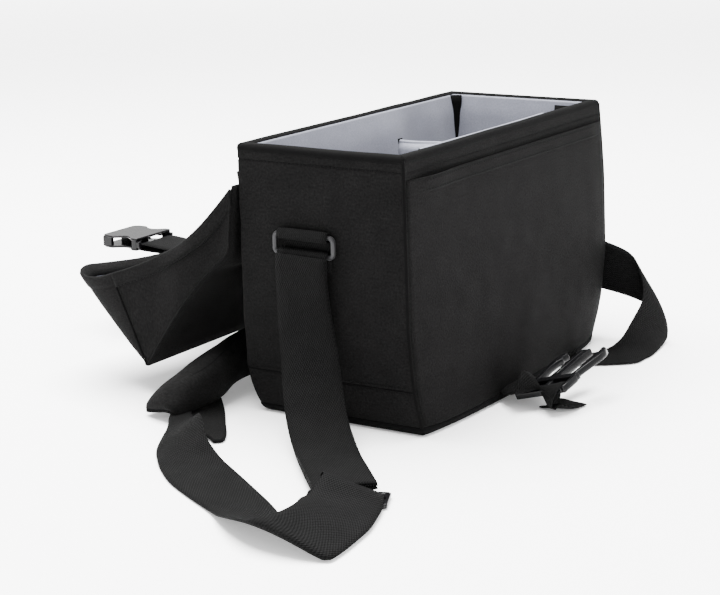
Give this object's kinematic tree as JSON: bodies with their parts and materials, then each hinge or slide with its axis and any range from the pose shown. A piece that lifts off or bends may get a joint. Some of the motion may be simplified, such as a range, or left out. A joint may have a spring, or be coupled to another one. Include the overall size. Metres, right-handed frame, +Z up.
{
  "type": "camera bag",
  "caption": "Padded box-shaped camera bag with a grey-lined compartment, movable divider, back-hinged lid with side-release buckle, slip pocket and padded shoulder strap on rings.",
  "frame": {"origin": "on the floor under the centre of the bag body", "axes": "+X along the bag's length towards its far end, -Y towards the slip pocket, +Y towards the hinged lid, +Z up"},
  "size_m": [0.4973, 0.4353, 0.185],
  "materials": {
    "nylon": "black plain-weave nylon, matt with a faint sheen",
    "binding": "black woven binding tape, matt",
    "webbing": "black ribbed webbing",
    "foam": "closed-cell foam, hidden inside the walls",
    "lining": "light grey brushed nylon lining with a soft sheen",
    "board": "stiff sheet, hidden under the floor padding",
    "buckle_plastic": "black moulded plastic with soft highlights",
    "ring_metal": "dark satin metal wire"
  },
  "bodies": {
    "bag_body": {"front_panel": "nylon", "back_panel": "nylon", "near_end_panel": "nylon", "far_end_panel": "nylon", "near_end_boot": "nylon", "far_end_boot": "nylon", "bottom_panel": "nylon", "bottom_binding": "binding", "rim_binding": "binding", "near_front_piping": "binding", "far_front_piping": "binding", "front_pocket": "nylon", "front_pocket_hem": "nylon", "front_foam": "foam", "back_foam": "foam", "near_end_foam": "foam", "far_end_foam": "foam", "base_board": "board", "base_foam": "foam", "front_lining": "lining", "back_lining": "lining", "near_end_lining": "lining", "far_end_lining": "lining", "floor_lining": "lining", "corner_loop_strip": "binding", "near_tab": "webbing", "far_tab": "webbing", "strap_near_drop": "webbing", "strap_floor_run": "webbing", "strap_far_run": "webbing"},
    "divider": {"divider": "lining", "divider_back_hook": "binding", "divider_front_hook": "binding"},
    "lid_strip": {"lid_back_strip": "nylon"},
    "lid_top": {"lid_top_panel": "nylon", "lid_top_foam": "foam", "lid_top_lining": "lining", "lid_near_skirt": "nylon", "lid_far_skirt": "nylon", "lid_near_hem": "nylon", "lid_far_hem": "nylon"},
    "lid_front": {"lid_front_skirt": "nylon", "lid_front_lining": "lining", "lid_front_hem": "nylon"},
    "lid_buckle_strap": {"lid_buckle_webbing": "webbing"},
    "female_buckle": {"female_buckle": "buckle_plastic"},
    "closure_strap": {"closure_webbing": "webbing"},
    "closure_tail": {"closure_tail": "webbing"},
    "male_buckle": {"male_buckle_frame": "buckle_plastic"},
    "male_prong_left": {"male_prong_left": "buckle_plastic"},
    "male_prong_right": {"male_prong_right": "buckle_plastic"},
    "near_ring": {"near_ring": "ring_metal", "near_strap_loop": "webbing"},
    "far_ring": {"far_ring": "ring_metal", "far_strap_loop": "webbing"},
    "strap_adjuster": {"strap_adjuster": "buckle_plastic"},
    "shoulder_pad": {"shoulder_pad_base": "nylon", "shoulder_pad_foam": "foam", "shoulder_pad_cover": "nylon"}
  },
  "joints": [
    {"name": "lid_hinge", "type": "hinge", "parent": "bag_body", "child": "lid_strip", "pos_m": [0, 0.0665, 0.157], "axis": [1, 0, 0], "range_deg": [0, 170]},
    {"name": "lid_fold", "type": "hinge", "parent": "lid_strip", "child": "lid_top", "pos_m": [0, 0.07223, 0.1245], "axis": [1, 0, 0], "range_deg": [-0.5, 64.5]},
    {"name": "lid_front_fold", "type": "hinge", "parent": "lid_top", "child": "lid_front", "pos_m": [0, 0.15099, 0.01609], "axis": [1, 0, 0], "range_deg": [-14.5, 0.5]},
    {"name": "lid_buckle_swing", "type": "hinge", "parent": "lid_front", "child": "lid_buckle_strap", "pos_m": [0, 0.20292, 0.07238], "axis": [1, 0, 0], "range_deg": [-40, 24]},
    {"name": "female_buckle_tilt", "type": "hinge", "parent": "lid_buckle_strap", "child": "female_buckle", "pos_m": [0, 0.25392, 0.07238], "axis": [1, 0, 0], "range_deg": [-30, 10]},
    {"name": "closure_turn", "type": "hinge", "parent": "bag_body", "child": "closure_strap", "pos_m": [-0.02, -0.068, 0.0014], "axis": [0, 0, 1], "range_deg": [-12, 6]},
    {"name": "closure_tail_turn", "type": "hinge", "parent": "closure_strap", "child": "closure_tail", "pos_m": [-0.049, -0.108, 0.0014], "axis": [0, 0, 1], "range_deg": [-80, 4]},
    {"name": "male_buckle_tilt", "type": "hinge", "parent": "closure_tail", "child": "male_buckle", "pos_m": [-0.03868, -0.1128, 0.01457], "axis": [-0.192, -0.9311, 0.31], "range_deg": [-2, 70]},
    {"name": "prong_left_squeeze", "type": "hinge", "parent": "male_buckle", "child": "male_prong_left", "pos_m": [-0.02479, -0.09826, 0.01201], "axis": [-0.1918, 0.3454, 0.9187], "range_deg": [-6, 0]},
    {"name": "prong_right_squeeze", "type": "hinge", "parent": "male_buckle", "child": "male_prong_right", "pos_m": [-0.03131, -0.12992, 0.02255], "axis": [-0.1918, 0.3454, 0.9187], "range_deg": [0, 6]},
    {"name": "near_ring_swing", "type": "hinge", "parent": "bag_body", "child": "near_ring", "pos_m": [-0.147, 0.01, 0.129], "axis": [0, 1, 0], "range_deg": [0, 90]},
    {"name": "far_ring_swing", "type": "hinge", "parent": "bag_body", "child": "far_ring", "pos_m": [0.147, 0.01, 0.129], "axis": [0, -1, 0], "range_deg": [0, 90]},
    {"name": "divider_slide", "type": "slide", "parent": "bag_body", "child": "divider", "axis": [1, 0, 0], "range_m": [-0.15, 0.07]},
    {"name": "adjuster_slide", "type": "slide", "parent": "bag_body", "child": "strap_adjuster", "axis": [-0.7625, -0.647, 0], "range_m": [-0.008, 0.01]},
    {"name": "pad_slide", "type": "slide", "parent": "bag_body", "child": "shoulder_pad", "axis": [1, 0, 0], "range_m": [-0.02, 0.02]}
  ],
  "couplings": [
    {"joint": "lid_fold", "follows": "lid_hinge", "ratio": 0.37647},
    {"joint": "lid_front_fold", "follows": "lid_hinge", "ratio": -0.082353},
    {"joint": "prong_right_squeeze", "follows": "prong_left_squeeze", "ratio": -1}
  ]
}
